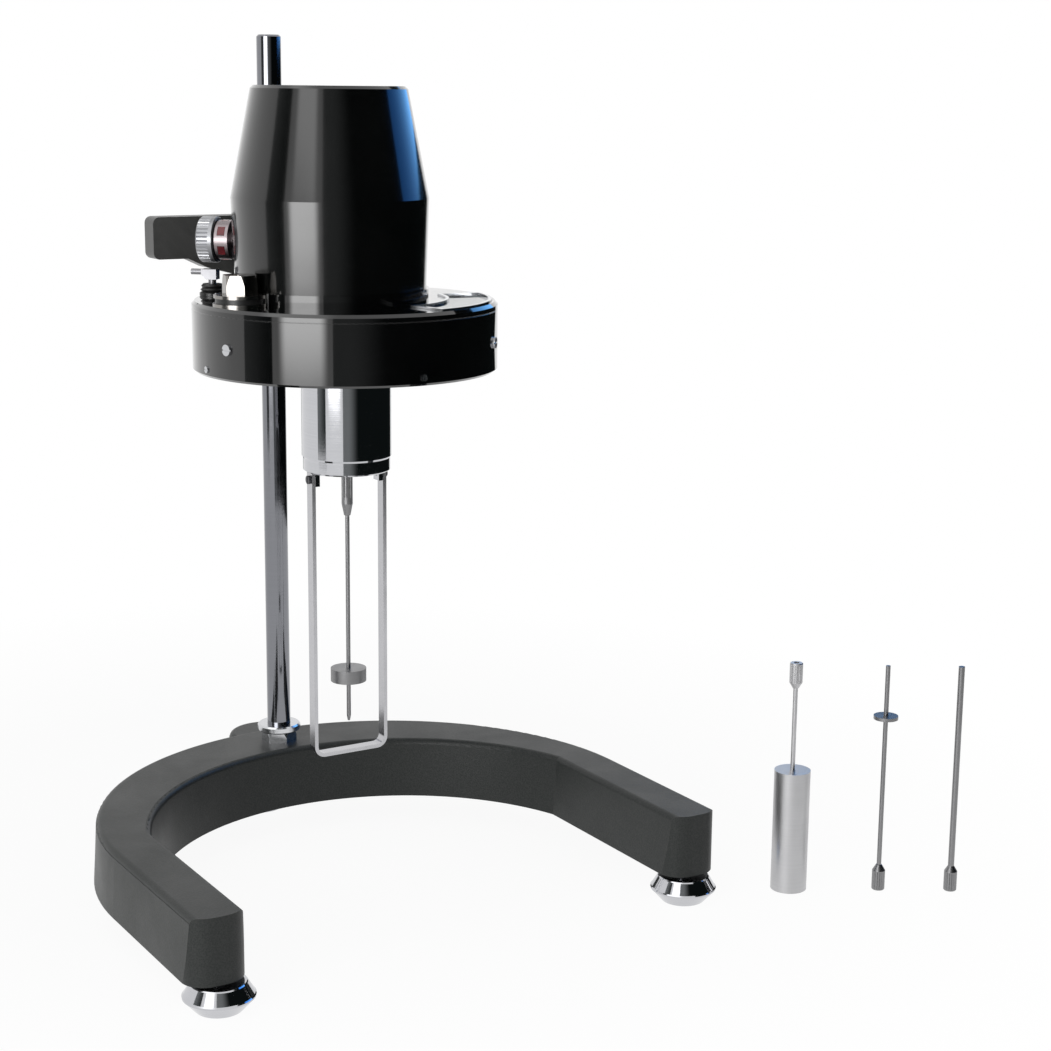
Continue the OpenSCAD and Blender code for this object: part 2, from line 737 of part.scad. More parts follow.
// Push pin with a chamfered block and a round thumb bar: pressing it locks the pointer
module lock_lever() {
    pin_r = 2;
    reach = 11.6;
    block_z = boot_h + 2.2;
    block_h = 5.2;
    block_w = 6;
    block_back = 3;
    block_front = -5;
    bar_r = 1.5;
    bar_end = -11;
    color([0.55, 0.56, 0.58]) in_head() at_head_angle(lock_angle, lock_r, cover_top) {
        translate([0, 0, -reach]) cylinder(h = reach + boot_h + 3, r = pin_r);
        translate([-block_w / 2, 0, block_z]) rotate([90, 0, 90]) linear_extrude(block_w)
            polygon([[block_front + block_h / 2, 0], [block_back, 0], [block_back, block_h],
                     [block_front, block_h], [block_front, block_h / 2]]);
        translate([0, block_front + 1, block_z + block_h - bar_r]) rotate([90, 0, 0])
            cylinder(h = block_front + 1 - bar_end, r = bar_r);
    }
}

// Toggle switch body with its threaded bush and nut
module switch_body() {
    color([0.7, 0.71, 0.73]) in_head() translate([0, cone_shift, seat_top])
        at_head_angle(switch_angle, cone_foot_r - 3.5, switch_rise) rotate([90, 0, 0]) {
            difference() {
                union() {
                    cylinder(h = 11, r = 3);
                    translate([-6, -5, -14]) cube([12, 10, 14.5]);
                    translate([0, 0, 4.8]) hex_nut(9, 2.4, 2.9);
                }
                translate([0, 0, 3]) cylinder(h = 9, r1 = 1.1, r2 = 2.75);
            }
        }
}

// Toggle of the power switch
module switch_toggle() {
    color([0.85, 0.86, 0.88]) in_head() translate([0, cone_shift, seat_top])
        at_head_angle(switch_angle, cone_foot_r - 3.5, switch_rise) rotate([90, 0, 0])
            translate([0, 0, 4]) rotate([-toggle_tilt, 0, 0]) {
                cylinder(h = 15, r1 = 0.6, r2 = 1.2);
                translate([0, 0, 15]) sphere(r = 1.5);
            }
}

// Cable gland of the mains lead
module cable_gland() {
    color([0.04, 0.04, 0.04]) in_head() translate([0, cone_shift, seat_top])
        at_head_angle(inlet_angle, cone_foot_r - 4, inlet_rise) rotate([90, 0, 0]) difference() {
            union() {
                cylinder(h = 8, r = 5);
                translate([0, 0, 5.4]) cylinder(h = 2.6, r = 8);
                translate([0, 0, 8]) cylinder(h = 10, r1 = 5.6, r2 = 4);
            }
            translate([0, 0, -1]) cylinder(h = 30, r = 2.6);
        }
}

// Drive ----------------------------------------------------------------------------------

drive_r = gear_module * drive_teeth / 2;
pinion_r = gear_module * pinion_teeth / 2;
drive_distance = drive_r + pinion_r;
gear_z = cover_top + 1;
motor_plate_z = seat_top + 3;
motor_plate_t = 2.5;
cage_post_r = 11;
cage_r = 13.6;
cage_bottom = dial_z + 1.6;
cage_top = cage_bottom + 11;
tube_r = 6;

// Toothed wheel with straight-flanked teeth
module spur(teeth, radius, width) {
    pitch = 360 / teeth;
    tip_r = radius + 0.85 * gear_module;
    root_r = radius - 1.25 * gear_module;
    tip_half = 0.3 * gear_module;
    flank_half = 0.66 * gear_module;
    root_half = 0.88 * gear_module;
    cylinder(h = width, r = root_r);
    for (i = [0 : teeth - 1]) rotate([0, 0, i * pitch])
        linear_extrude(width) polygon([[root_r - 0.2, -root_half], [radius, -flank_half], [tip_r, -tip_half],
            [tip_r, tip_half], [radius, flank_half], [root_r - 0.2, root_half]]);
}

// Mounting plate for the motor, on posts that stand on the cover
module motor_plate() {
    color([0.72, 0.72, 0.7]) in_head() difference() {
        union() {
            translate([0, cone_shift, motor_plate_z])
                cylinder(h = motor_plate_t, r = cone_foot_r - cone_wall - 1);
            translate([0, cone_shift, 0]) for (angle = [60, 120, 240, 300])
                at_head_angle(angle, cone_foot_r - cone_wall - 4, seat_top + fixed_fit)
                    cylinder(h = motor_plate_z - seat_top, r = 2.5);
        }
        translate([0, 0, motor_plate_z - 1]) cylinder(h = 10, r = tube_r + 1);
        translate([0, drive_distance, motor_plate_z - 1]) cylinder(h = 10, r = 4);
    }
}

// Synchronous motor with its gearbox
module motor() {
    shaft_shift = 4;
    color([0.62, 0.6, 0.5]) in_head() translate([0, drive_distance, motor_plate_z + motor_plate_t + fixed_fit])
        difference() {
            union() {
                translate([0, -shaft_shift, 0]) cylinder(h = gearbox_h, r = gearbox_d / 2);
                translate([0, -shaft_shift, gearbox_h]) cylinder(h = motor_h, r = motor_d / 2);
                translate([0, -shaft_shift, gearbox_h + motor_h]) cylinder(h = 2, r = motor_d / 5);
            }
            translate([0, 0, -1]) cylinder(h = gearbox_h - 2, r = 2 + running_fit);
            translate([0, -drive_distance, -1]) cylinder(h = 8, r = tube_r + 1);
        }
}

// Pinion on the gearbox shaft
module motor_pinion() {
    color([0.75, 0.6, 0.3]) in_head() translate([0, drive_distance, 0]) {
        translate([0, 0, gear_z]) rotate([0, 0, 90 + 180 / pinion_teeth])
            spur(pinion_teeth, pinion_r, gear_width);
        translate([0, 0, gear_z + gear_width - 0.1])
            cylinder(h = motor_plate_z + motor_plate_t - gear_z - gear_width + 8, r = 2);
    }
}

// Bearing bracket that carries the dial's tube
module dial_bearing() {
    bearing_t = 1.38;
    color([0.75, 0.75, 0.72]) in_head() difference() {
        translate([0, 0, motor_plate_z - bearing_t - fixed_fit]) cylinder(h = bearing_t, r = tube_r + 5);
        translate([0, 0, motor_plate_z - 2 * bearing_t])
            cylinder(h = 4 * bearing_t, r = tube_r + running_fit);
    }
}

// Tube, drive wheel and cage that turn the dial
module dial_drive() {
    color([0.75, 0.6, 0.3]) in_head() difference() {
        union() {
            translate([0, 0, gear_z]) rotate([0, 0, 90]) spur(drive_teeth, drive_r, gear_width);
            translate([0, 0, cage_top])
                cylinder(h = motor_plate_z + motor_plate_t - cage_top - 0.5, r = tube_r);
            translate([0, 0, cage_top]) cylinder(h = 2, r = cage_r);
            rotate([0, 0, -30]) translate([0, -cage_post_r, cage_bottom])
                cylinder(h = cage_top - cage_bottom + 1, r = 2);
            translate([0, 0, cage_bottom]) cylinder(h = 2, r = cage_r);
        }
        translate([0, 0, cage_bottom - 1]) cylinder(h = 4, r = shaft_r + 1.2);
        translate([0, 0, cage_top - 1]) cylinder(h = 2.5, r = shaft_r + running_fit);
    }
}

// Dial carried under the cage
module dial() {
    color([0.9, 0.91, 0.9]) in_head() translate([0, 0, dial_z]) difference() {
        cylinder(h = 1.58, r = dial_r, $fn = 128);
        translate([0, 0, -1]) cylinder(h = 4, r = shaft_r + 1.2);
    }
}

// Flat spiral spring between the cage and the pointer's hub, made of half turns
module hairspring() {
    turns = 4;
    inner = 3.4;
    pitch = 1.2;
    strip_t = 0.25;
    strip_w = 1.4;
    color([0.6, 0.62, 0.7]) in_head() translate([0, 0, cage_bottom + 6.5])
        for (i = [0 : 2 * turns - 1]) rotate([0, 0, i % 2 * 180]) translate([-pitch / 4, 0, 0])
            rotate_extrude(angle = 180, $fn = 32)
                translate([inner + i * pitch / 2, 0]) square([strip_t, strip_w]);
}

// Pointer with its hub
module pointer() {
    color([0.75, 0.1, 0.08]) in_head() translate([0, 0, cage_bottom + 3]) difference() {
        union() {
            cylinder(h = 5, r = 3);
            translate([-0.9, -dial_r + 4, 0.6]) cube([1.8, dial_r - 6, 0.8]);
            translate([0, 0, 0.6]) linear_extrude(0.8)
                polygon([[-0.9, -dial_r + 4], [0.9, -dial_r + 4], [0, -dial_r + 0.5]]);
            translate([-1.4, 2, 0.6]) cube([2.8, 5.5, 0.8]);
        }
        translate([0, 0, -1]) cylinder(h = 10, r = shaft_r + 0.01);
    }
}

// Measuring shaft from the cage's pivot down to the coupling
module measuring_shaft() {
    bottom = shroud_bottom - 12;
    color([0.8, 0.81, 0.83]) in_head() translate([0, 0, bottom])
        cylinder(h = cage_top + 1.2 - bottom, r = shaft_r);
}

// Shroud and guard -----------------------------------------------------------------------

floor_t = 2;
guard_half = 20.4;
lug_t = 2.4;
lug_x = guard_half - guard_strip_t / 2 - lug_t / 2 - fixed_fit;
guard_screw_z = shroud_bottom - 3.5;

// Chrome tube round the shaft, with its flange inside the housing
module shroud() {
    foot_ring_r = shroud_r - 0.6;
    neck_r = shroud_r - shroud_wall - fixed_fit;
    flange_r = shroud_r + 2;
    flange_z = shroud_length + 3 + fixed_fit;
    flange_top = flange_z + 1.58;
    color([0.85, 0.86, 0.88]) on_spindle_axis() {
        translate([0, 0, shroud_bottom]) rotate_extrude() difference() {
            polygon([[0, 0], [foot_ring_r - 1, 0], [foot_ring_r, 0.8], [foot_ring_r, 7], [shroud_r, 8],
                     [shroud_r, shroud_length - 1.2], [shroud_r + 0.6, shroud_length - 0.9],
                     [shroud_r + 0.6, shroud_length - fixed_fit], [neck_r, shroud_length - fixed_fit],
                     [neck_r, flange_z], [flange_r, flange_z], [flange_r, flange_top], [0, flange_top]]);
            translate([-1, floor_t + 4]) square([shroud_r - 2 * shroud_wall + 1, shroud_length]);
            translate([-1, -1]) square([coupling_d / 2 + 1.6 + 1, shroud_length + 10]);
        }
        for (side = [-1, 1]) translate([side * lug_x, 0, guard_screw_z]) difference() {
            translate([-lug_t / 2, -guard_strip_w / 2, -3.5]) cube([lug_t, guard_strip_w, 8]);
            rotate([0, 90, 0]) cylinder(h = lug_t + 2, r = 1.27, center = true, $fn = 32);
        }
    }
}

// Bush in the shroud that steadies the measuring shaft
module shroud_bush() {
    bush_h = 6;
    bush_depth = 8;
    color([0.75, 0.6, 0.3]) on_spindle_axis() translate([0, 0, head_z - bush_depth - bush_h]) difference() {
        cylinder(h = bush_h, r = shroud_r - 2 * shroud_wall - fixed_fit);
        translate([0, 0, -1]) cylinder(h = bush_h + 2, r = shaft_r + running_fit);
    }
}

// Guard: a bent flat strip with rounded lower corners
module guard() {
    bend_r = 6;
    half = guard_half + guard_strip_t / 2;
    top = shroud_bottom - fixed_fit;
    bottom = shroud_bottom - guard_length;
    color([0.85, 0.86, 0.88]) on_spindle_axis() difference() {
        translate([0, guard_strip_w / 2, 0]) rotate([90, 0, 0]) linear_extrude(guard_strip_w) difference() {
            union() {
                translate([-half, bottom + bend_r]) square([2 * half, top - bottom - bend_r]);
                translate([-half + bend_r, bottom]) square([2 * (half - bend_r), bend_r + 1]);
                for (side = [-1, 1]) translate([side * (half - bend_r), bottom + bend_r]) circle(r = bend_r);
            }
            inner = half - guard_strip_t;
            inner_r = bend_r - guard_strip_t;
            translate([-inner, bottom + bend_r]) square([2 * inner, top - bottom]);
            translate([-inner + inner_r, bottom + guard_strip_t]) square([2 * (inner - inner_r), bend_r]);
            for (side = [-1, 1]) translate([side * (inner - inner_r), bottom + bend_r]) circle(r = inner_r);
        }
        for (side = [-1, 1]) translate([side * guard_half, 0, guard_screw_z]) rotate([0, 90, 0])
            cylinder(h = 8, r = 1.3, center = true, $fn = 32);
    }
}

// Screws that hold the guard on the shroud's lugs
module guard_screws() {
    color([0.25, 0.25, 0.27]) on_spindle_axis() for (side = [-1, 1])
        translate([side * (guard_half + guard_strip_t / 2 + fixed_fit), 0, guard_screw_z])
            rotate([0, side * 90, 0]) screw(2.2, 1.2, 1.25, guard_strip_t + lug_t);
}

// Spindles -------------------------------------------------------------------------------

coupling_z = shroud_bottom - coupling_length;
disc_z = 105;
spindle_bottom = 83;
head_length = 13.5;
connector_r = 3.4;

// Coupling nut, knurled at the top and pointed at the bottom
module coupling() {
    nut_r = coupling_d / 2;
    tip_r = 1.7;
    color([0.7, 0.71, 0.73]) on_spindle_axis() translate([0, 0, coupling_z]) difference() {
        rotate_extrude() polygon([[0, 0], [tip_r, 0], [nut_r, 6], [nut_r, coupling_length + 1],
            [nut_r - 0.6, coupling_length + 1.6], [0, coupling_length + 1.6]]);
        translate([0, 0, 8]) cylinder(h = coupling_length, r = shaft_r + 0.01);
        translate([0, 0, 10]) grooves(18, nut_r + 0.2, 0.6, 14);
        translate([0, 0, -1]) cylinder(h = 8, r = rod_d / 2 * 0.7 + 0.01);
    }
}

// Second spindle, mounted: a rod with a measuring disc and a tapered stub
module spindle_2() {
    rod_r = rod_d / 2 * 0.7;
    color([0.75, 0.76, 0.78]) on_spindle_axis() {
        translate([0, 0, spindle_bottom + 3]) cylinder(h = coupling_z + 6.5 - spindle_bottom - 3, r = rod_r);
        translate([0, 0, spindle_bottom]) cylinder(h = 3, r1 = 0.6, r2 = rod_r);
        translate([0, 0, disc_z]) cylinder(h = disc_thick, r = disc_d / 2);
    }
}

// Knurled connector at the end of a loose spindle, with its threaded bore
module connector() {
    difference() {
        rotate_extrude() polygon([[0, 0], [connector_r - 0.3, 0], [connector_r, 0.4],
            [connector_r, head_length - 3], [rod_d / 2, head_length], [0, head_length]]);
        translate([0, 0, -1]) cylinder(h = 8, r = shaft_r);
        translate([0, 0, 1.2]) grooves(18, connector_r + 0.25, 0.6, head_length - 5);
    }
}

// Where the loose spindles stand: a row that slants away from the stand's front corner
loose_row_angle = -32.3;
loose_row = [0, 47.3, 85.2];
function loose_place(i) = [base_half_width + loose_gap + loose_row[i] * cos(loose_row_angle),
    leg_end_y - loose_front + loose_row[i] * sin(loose_row_angle), 0];

// First spindle: hollow cylinder open at the bottom, standing on it
module spindle_1() {
    color([0.72, 0.73, 0.75]) translate(loose_place(0)) {
        difference() {
            cylinder(h = cylinder_length, r = cylinder_d / 2);
            translate([0, 0, -1]) cylinder(h = cylinder_length - 1, r = cylinder_d / 2 - 1.2);
        }
        translate([0, 0, cylinder_length - 1])
            cylinder(h = spindle_length - cylinder_length - 8, r = rod_d / 2 * 0.75);
        translate([0, 0, spindle_length]) rotate([180, 0, 0]) connector();
    }
}

// Third spindle, standing upside down on its connector
module spindle_3() {
    color([0.72, 0.73, 0.75]) translate(loose_place(1)) {
        connector();
        translate([0, 0, head_length - 0.5])
            cylinder(h = spindle_length - head_length - 0.5, r = rod_d / 2 * 0.75);
        translate([0, 0, spindle_length * 0.76]) cylinder(h = 1.78, r = thin_disc_d / 2);
    }
}

// Fourth spindle, a plain rod, standing upside down on its connector
module spindle_4() {
    color([0.72, 0.73, 0.75]) translate(loose_place(2)) {
        connector();
        translate([0, 0, head_length - 0.5]) cylinder(h = spindle_length - head_length - 0.5, r = rod_d / 2);
    }
}

base_casting();
foot_rear();
foot_left();
foot_right();
column();
column_nut();
column_collar();
column_under_nut();
carrier();
carrier_screws();
clamp_knob();
housing_pan();
pan_screws();
edge_screws();
top_cover();
window_pane();
window_bezel();
motor_cover();
speed_collar();
speed_knob();
stud_set();
stud_plate();
lock_boot();
lock_lever();
switch_body();
switch_toggle();
cable_gland();
motor_plate();
motor();
motor_pinion();
dial_bearing();
dial_drive();
dial();
hairspring();
pointer();
measuring_shaft();
shroud();
shroud_bush();
guard();
guard_screws();
coupling();
spindle_2();
spindle_1();
spindle_3();
spindle_4();
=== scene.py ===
"""Dial-reading rotational viscometer on a horseshoe stand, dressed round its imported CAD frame."""

import math

import bpy
from mathutils import Matrix, Vector


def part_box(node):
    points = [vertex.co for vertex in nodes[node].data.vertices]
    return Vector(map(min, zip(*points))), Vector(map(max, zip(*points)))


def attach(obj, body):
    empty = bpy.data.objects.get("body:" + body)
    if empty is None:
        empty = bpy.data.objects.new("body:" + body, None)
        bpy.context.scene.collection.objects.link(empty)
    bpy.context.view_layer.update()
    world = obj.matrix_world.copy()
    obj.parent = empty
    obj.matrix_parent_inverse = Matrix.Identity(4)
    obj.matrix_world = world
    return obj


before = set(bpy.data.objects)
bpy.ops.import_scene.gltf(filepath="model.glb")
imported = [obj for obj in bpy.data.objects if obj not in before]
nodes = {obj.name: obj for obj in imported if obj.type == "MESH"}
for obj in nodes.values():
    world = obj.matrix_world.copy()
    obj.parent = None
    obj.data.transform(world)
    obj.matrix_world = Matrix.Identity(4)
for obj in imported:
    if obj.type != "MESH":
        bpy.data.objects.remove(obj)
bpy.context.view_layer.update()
scene = bpy.context.scene
bpy.ops.object.select_all(action="DESELECT")


# Camera ----------------------------------------------------------------------------------
# A bench-height view from the front left, looking slightly down on the base, so that the
# horseshoe, the column and the speed selector all show.
camera_data = bpy.data.cameras.new("camera")
camera_data.lens = 71.15
camera_data.sensor_width = 36.0
camera_data.clip_start = 0.05
camera_data.clip_end = 40.0
camera = bpy.data.objects.new("camera", camera_data)
scene.collection.objects.link(camera)
camera_place = Matrix.Translation((-0.4766, -1.0597, 0.413))
camera_turn = Matrix.Rotation(math.radians(-31.733), 4, "Z")
camera_pitch = Matrix.Rotation(math.radians(78.039), 4, "X")
camera_roll = Matrix.Rotation(math.radians(0.577), 4, "Z")
camera.matrix_world = camera_place @ camera_turn @ camera_pitch @ camera_roll
scene.camera = camera
scene.view_settings.view_transform = "Standard"


# Studio ----------------------------------------------------------------------------------
# White paper under and behind the instrument, soft boxes at the left of the lens, and cards
# that give polished metal and black enamel their dark bands and a blue window stripe.
studio_centre = Vector((0.0, -0.113, 0.0))
lens_bearing = 243.3


def studio_place(bearing, distance, height):
    """Point at a bearing to the right of the lens, seen from the instrument."""
    turn = math.radians(lens_bearing + bearing)
    offset = Vector((math.cos(turn) * distance, math.sin(turn) * distance, height))
    return studio_centre + offset


def material_start(name):
    """New material with its Principled shader: (material, nodes, links, shader)."""
    mat = bpy.data.materials.new(name)
    mat.use_nodes = True
    tree = mat.node_tree
    return mat, tree.nodes, tree.links, tree.nodes["Principled BSDF"]


def math_node(tree_nodes, links, operation, first, second=None, third=None):
    """Math node with numbers or sockets on its inputs; returns its output."""
    node = tree_nodes.new("ShaderNodeMath")
    node.operation = operation
    for socket, value in zip(node.inputs, (first, second, third)):
        if value is None:
            continue
        if isinstance(value, (int, float)):
            socket.default_value = value
        else:
            links.new(value, socket)
    return node.outputs[0]


def seen_directly(tree_nodes, links):
    """1 on camera, mirror and glass rays, 0 on the rays that only light things."""
    path = tree_nodes.new("ShaderNodeLightPath")
    camera_or_mirror = math_node(
        tree_nodes, links, "MAXIMUM", path.outputs["Is Camera Ray"], path.outputs["Is Glossy Ray"]
    )
    return math_node(
        tree_nodes, links, "MAXIMUM", camera_or_mirror, path.outputs["Is Transmission Ray"]
    )


world = bpy.data.worlds.new("studio")
scene.world = world
world.use_nodes = True
sky = world.node_tree
sky_shader = sky.nodes["Background"]
sky_shader.inputs["Color"].default_value = (1.0, 1.0, 1.0, 1.0)
ambient_level = 0.42
sky_level = math_node(
    sky.nodes,
    sky.links,
    "MULTIPLY_ADD",
    seen_directly(sky.nodes, sky.links),
    1.0 - ambient_level,
    ambient_level,
)
sky.links.new(sky_level, sky_shader.inputs["Strength"])

paper_size = 12.0
paper_drop = 0.0005
bpy.ops.mesh.primitive_plane_add(size=paper_size, location=(0.0, 0.0, -paper_drop))
floor = bpy.context.object
floor.name = "paper_floor"
paper, paper_nodes, paper_links, paper_shader = material_start("white_paper")
paper_shader.inputs["Base Color"].default_value = (0.86, 0.86, 0.86, 1.0)
paper_shader.inputs["Roughness"].default_value = 0.9
paper_shader.inputs["Specular IOR Level"].default_value = 0.1
paper_place = paper_nodes.new("ShaderNodeTexCoord")
paper_radius = paper_nodes.new("ShaderNodeVectorMath")
paper_radius.operation = "LENGTH"
paper_links.new(paper_place.outputs["Object"], paper_radius.inputs[0])
paper_fade = paper_nodes.new("ShaderNodeMapRange")
shadow_reach = 0.2
shadow_end = 0.5
paper_fade.inputs["From Min"].default_value = shadow_reach
paper_fade.inputs["From Max"].default_value = shadow_end
paper_fade.inputs["To Min"].default_value = 0.93
paper_fade.inputs["To Max"].default_value = 1.0
paper_links.new(paper_radius.outputs["Value"], paper_fade.inputs["Value"])
paper_white = paper_nodes.new("ShaderNodeEmission")
paper_white.inputs["Color"].default_value = (1.0, 1.0, 1.0, 1.0)
paper_white.inputs["Strength"].default_value = 1.0
paper_mix = paper_nodes.new("ShaderNodeMixShader")
paper_share = math_node(
    paper_nodes,
    paper_links,
    "MULTIPLY",
    paper_fade.outputs["Result"],
    seen_directly(paper_nodes, paper_links),
)
paper_links.new(paper_share, paper_mix.inputs["Fac"])
paper_links.new(paper_shader.outputs["BSDF"], paper_mix.inputs[1])
paper_links.new(paper_white.outputs["Emission"], paper_mix.inputs[2])
paper_links.new(paper_mix.outputs["Shader"], paper_nodes["Material Output"].inputs["Surface"])
floor.data.materials.append(paper)


soft_edge = 0.2


def soft_box(name, bearing, distance, height, size, radiance, aim_height):
    """Rectangular light that faces the instrument, with the radiance of its front."""
    light = bpy.data.lights.new(name, "AREA")
    light.shape = "RECTANGLE"
    light.size, light.size_y = size
    light.energy = radiance * math.pi * size[0] * size[1]
    light.use_nodes = True
    tree = light.node_tree
    spot = tree.nodes.new("ShaderNodeNewGeometry")
    middle = tree.nodes.new("ShaderNodeVectorMath")
    middle.operation = "SUBTRACT"
    middle.inputs[1].default_value = (0.5, 0.5, 0.0)
    tree.links.new(spot.outputs["Parametric"], middle.inputs[0])
    split = tree.nodes.new("ShaderNodeSeparateXYZ")
    tree.links.new(middle.outputs["Vector"], split.inputs["Vector"])
    fades = []
    for side in ("X", "Y"):
        away = math_node(tree.nodes, tree.links, "ABSOLUTE", split.outputs[side])
        fade = tree.nodes.new("ShaderNodeMapRange")
        fade.interpolation_type = "SMOOTHSTEP"
        fade.inputs["From Min"].default_value = 0.5
        fade.inputs["From Max"].default_value = 0.5 - soft_edge
        tree.links.new(away, fade.inputs["Value"])
        fades.append(fade.outputs["Result"])
    front = math_node(tree.nodes, tree.links, "MULTIPLY", fades[0], fades[1])
    tree.links.new(front, tree.nodes["Emission"].inputs["Strength"])
    lamp = bpy.data.objects.new(name, light)
    scene.collection.objects.link(lamp)
    place = studio_place(bearing, distance, height)
    aim = studio_centre + Vector((0.0, 0.0, aim_height)) - place
    lamp.matrix_world = Matrix.Translation(place) @ aim.to_track_quat("-Z", "Y").to_matrix().to_4x4()
    lamp.visible_camera = False


soft_box(
    "key_box", bearing=-31.0, distance=1.5, height=0.38, size=(1.05, 0.76), radiance=6.4, aim_height=0.38
)
soft_box(
    "upper_box", bearing=-31.0, distance=1.55, height=1.2, size=(1.0, 0.8), radiance=1.8, aim_height=0.3
)
soft_box(
    "top_box", bearing=-60.0, distance=0.7, height=1.5, size=(1.4, 1.2), radiance=1.0, aim_height=0.1
)


card_foot = -0.0004
card_step = 6.0


def card(name, bearings, distance, heights, start_level, end_level, ramp=(0.0, 1.0)):
    """Curved standing card that only mirrors see, with its glow at its left and right ends."""
    steps = int((bearings[1] - bearings[0]) / card_step)
    bpy.ops.mesh.primitive_grid_add(x_subdivisions=steps, y_subdivisions=1, size=1.0)
    sheet = bpy.context.object
    sheet.name = name
    for vertex in sheet.data.vertices:
        across = vertex.co.x + 0.5
        up = vertex.co.y + 0.5
        bearing = bearings[0] + across * (bearings[1] - bearings[0])
        vertex.co = studio_place(bearing, distance, heights[0] + up * (heights[1] - heights[0]))
    mat, tree_nodes, links, shader = material_start(name)
    shader.inputs["Base Color"].default_value = (0.0, 0.0, 0.0, 1.0)
    shader.inputs["Specular IOR Level"].default_value = 0.0
    shader.inputs["Roughness"].default_value = 1.0
    shader.inputs["Emission Strength"].default_value = 1.0
    layout = tree_nodes.new("ShaderNodeSeparateXYZ")
    links.new(tree_nodes.new("ShaderNodeTexCoord").outputs["UV"], layout.inputs["Vector"])
    share = tree_nodes.new("ShaderNodeMapRange")
    share.interpolation_type = "SMOOTHSTEP"
    share.inputs["From Min"].default_value, share.inputs["From Max"].default_value = ramp
    links.new(layout.outputs["X"], share.inputs["Value"])
    glow = tree_nodes.new("ShaderNodeMix")
    glow.data_type = "RGBA"
    glow.inputs["A"].default_value = (*start_level, 1.0)
    glow.inputs["B"].default_value = (*end_level, 1.0)
    links.new(share.outputs["Result"], glow.inputs["Factor"])
    links.new(glow.outputs["Result"], shader.inputs["Emission Color"])
    sheet.data.materials.append(mat)
    sheet.visible_camera = False
    sheet.visible_diffuse = False
    sheet.visible_shadow = False
    sheet.visible_transmission = False


card(
    "black_card_right",
    bearings=(-9.0, 150.0),
    distance=0.85,
    heights=(card_foot, 1.1),
    start_level=(0.22, 0.23, 0.23),
    end_level=(0.006, 0.008, 0.008),
    ramp=(0.07, 0.25),
)
card(
    "grey_card_left",
    bearings=(-78.0, -54.0),
    distance=1.3,
    heights=(card_foot, 1.2),
    start_level=(0.2, 0.21, 0.21),
    end_level=(0.03, 0.035, 0.035),
)
card(
    "window_light",
    bearings=(92.0, 150.0),
    distance=0.8,
    heights=(0.45, 0.82),
    start_level=(0.09, 0.44, 1.4),
    end_level=(0.48, 1.35, 2.8),
)


# Base casting ----------------------------------------------------------------------------
# The horseshoe is an iron casting sprayed with a dark grey-green enamel. The enamel dries with
# a fine crackle, and handling leaves it a little smoother in patches.
def shade_group(name, sockets_in, sockets_out):
    """Empty shader node group with float or vector sockets: (group, nodes, links, in, out)."""
    group = bpy.data.node_groups.new(name, "ShaderNodeTree")
    for label, kind, value in sockets_in:
        socket = group.interface.new_socket(name=label, in_out="INPUT", socket_type=kind)
        if value is not None:
            socket.default_value = value
    for label, kind in sockets_out:
        group.interface.new_socket(name=label, in_out="OUTPUT", socket_type=kind)
    start = group.nodes.new("NodeGroupInput")
    end = group.nodes.new("NodeGroupOutput")
    return group, group.nodes, group.links, start, end


def use_group(tree_nodes, links, group, vector, **values):
    """Places a node group, reads the vector socket into it and sets its other inputs."""
    node = tree_nodes.new("ShaderNodeGroup")
    node.node_tree = group
    links.new(vector, node.inputs["Vector"])
    for label, value in values.items():
        node.inputs[label.replace("_", " ").capitalize()].default_value = value
    return node.outputs


def object_place(tree_nodes):
    """Object coordinates, in metres."""
    return tree_nodes.new("ShaderNodeTexCoord").outputs["Object"]


def bump(tree_nodes, links, shader, height, distance, strength=1.0, under=None):
    """Bump on the shader's normal, in metres of relief."""
    node = tree_nodes.new("ShaderNodeBump")
    node.inputs["Distance"].default_value = distance
    node.inputs["Strength"].default_value = strength
    links.new(height, node.inputs["Height"])
    if under is not None:
        links.new(under, node.inputs["Normal"])
    links.new(node.outputs["Normal"], shader.inputs["Normal"])
    return node.outputs["Normal"]


def dress(mat, *names):
    """Gives CAD nodes their finish."""
    for name in names:
        for slot in nodes[name].material_slots:
            slot.material = mat


crackle, crackle_nodes, crackle_links, crackle_in, crackle_out = shade_group(
    "crackle_enamel",
    [
        ("Vector", "NodeSocketVector", None),
        ("Scale", "NodeSocketFloat", 700.0),
        ("Depth", "NodeSocketFloat", 1.0),
    ],
    [("Height", "NodeSocketFloat"), ("Pits", "NodeSocketFloat")],
)
warp = crackle_nodes.new("ShaderNodeTexNoise")
warp.inputs["Detail"].default_value = 3.0
crackle_links.new(crackle_in.outputs["Vector"], warp.inputs["Vector"])
crackle_links.new(crackle_in.outputs["Scale"], warp.inputs["Scale"])
cells = crackle_nodes.new("ShaderNodeTexVoronoi")
cells.feature = "SMOOTH_F1"
cells.inputs["Smoothness"].default_value = 0.6
warped_place = crackle_nodes.new("ShaderNodeVectorMath")
warped_place.operation = "MULTIPLY_ADD"
warp_reach = 0.0012
warped_place.inputs[1].default_value = (warp_reach, warp_reach, warp_reach)
crackle_links.new(warp.outputs["Color"], warped_place.inputs[0])
crackle_links.new(crackle_in.outputs["Vector"], warped_place.inputs[2])
crackle_links.new(warped_place.outputs["Vector"], cells.inputs["Vector"])
crackle_links.new(crackle_in.outputs["Scale"], cells.inputs["Scale"])
skin = math_node(
    crackle_nodes, crackle_links, "MULTIPLY_ADD", warp.outputs["Fac"], 0.5, cells.outputs["Distance"]
)
skin_height = math_node(crackle_nodes, crackle_links, "MULTIPLY", skin, crackle_in.outputs["Depth"])
crackle_links.new(skin_height, crackle_out.inputs["Height"])
pits = crackle_nodes.new("ShaderNodeMapRange")
